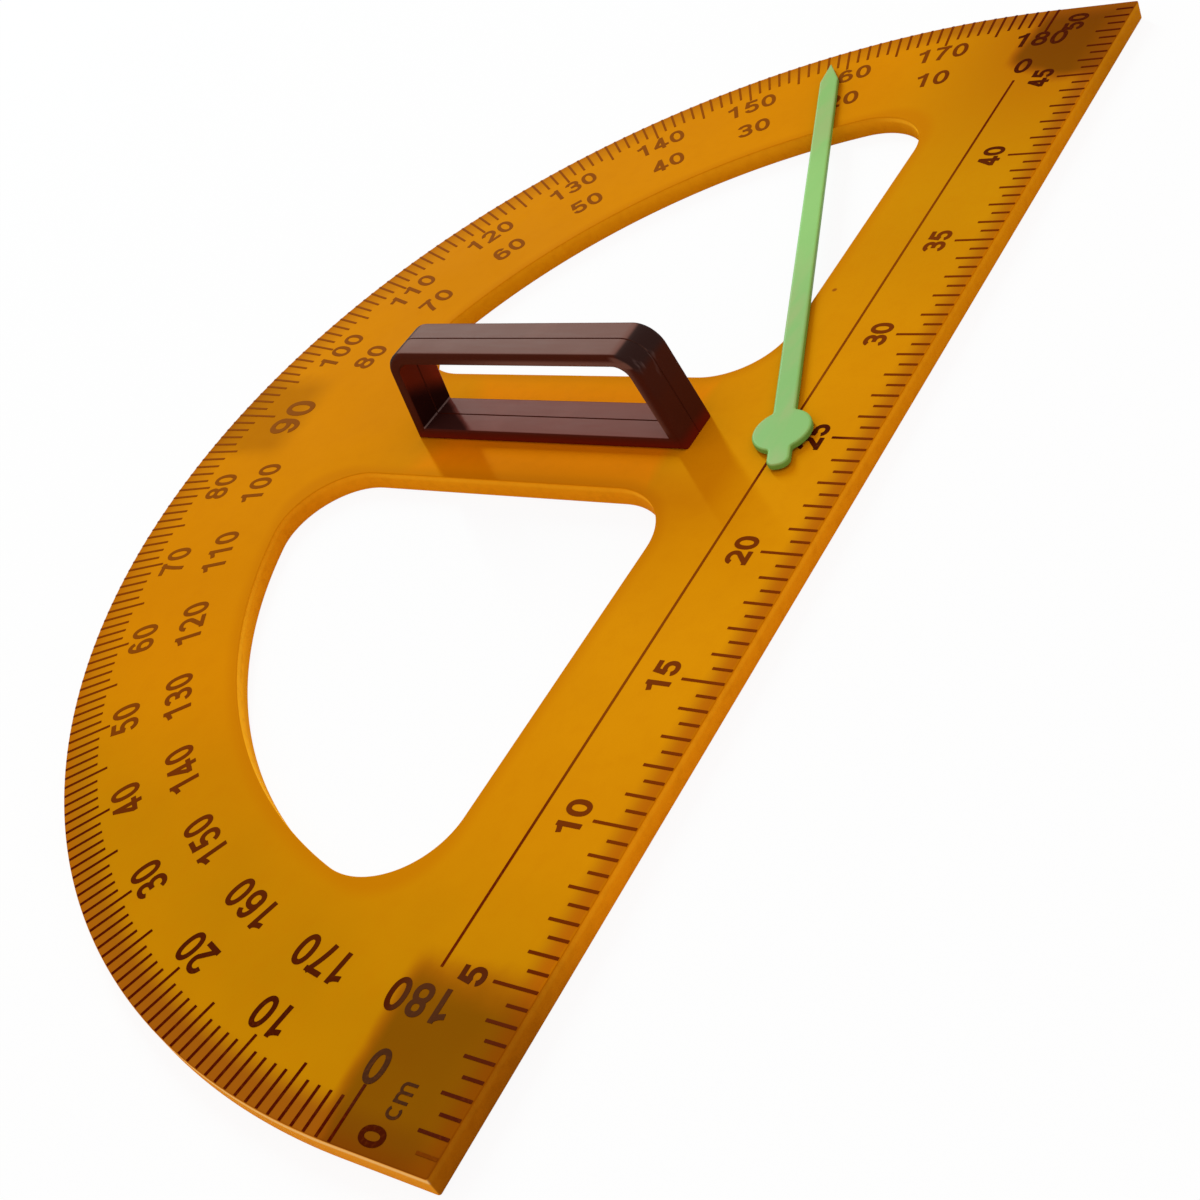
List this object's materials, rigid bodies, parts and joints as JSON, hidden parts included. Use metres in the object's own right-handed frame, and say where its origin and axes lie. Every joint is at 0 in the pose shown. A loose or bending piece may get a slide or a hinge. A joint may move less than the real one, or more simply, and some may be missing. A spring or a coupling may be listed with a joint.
{
  "type": "board protractor",
  "caption": "Large amber half-disc protractor for a writing board, with a carrying handle, a swinging pointer and magnets in its back.",
  "frame": {"origin": "the protractor's vertex on the pivot axis, at the back face", "axes": "+X along the base line towards the 50 cm end of the ruler, +Y towards the 90 degree mark, +Z out of the printed face"},
  "size_m": [0.5, 0.2814, 0.0452],
  "materials": {
    "amber_plate": "translucent amber, polished",
    "scale_ink": "dark brown print",
    "handle_plastic": "dark brown, satin",
    "pointer_plastic": "light green, satin",
    "screw_steel": "zinc plated",
    "washer_nylon": "natural nylon",
    "magnet_rubber": "dark magnetic rubber",
    "pad_foam": "white adhesive foam"
  },
  "bodies": {
    "plate": {"board": "amber_plate", "degree_scale": "scale_ink", "ruler_scale": "scale_ink", "base_line": "scale_ink", "handle_left": "handle_plastic", "handle_right": "handle_plastic", "handle_screws": "screw_steel", "friction_washer": "washer_nylon", "magnet_left": "magnet_rubber", "magnet_right": "magnet_rubber", "magnet_top": "magnet_rubber", "magnet_pad_left": "pad_foam", "magnet_pad_right": "pad_foam", "magnet_pad_top": "pad_foam"},
    "swing_arm": {"pointer": "pointer_plastic", "pivot_washer": "screw_steel", "pivot_screw": "screw_steel"}
  },
  "joints": [
    {"name": "pointer_swing", "type": "hinge", "parent": "plate", "child": "swing_arm", "pos_m": [0, 0, 0.009], "axis": [0, 0, 1], "range_deg": [-268, 45]}
  ]
}
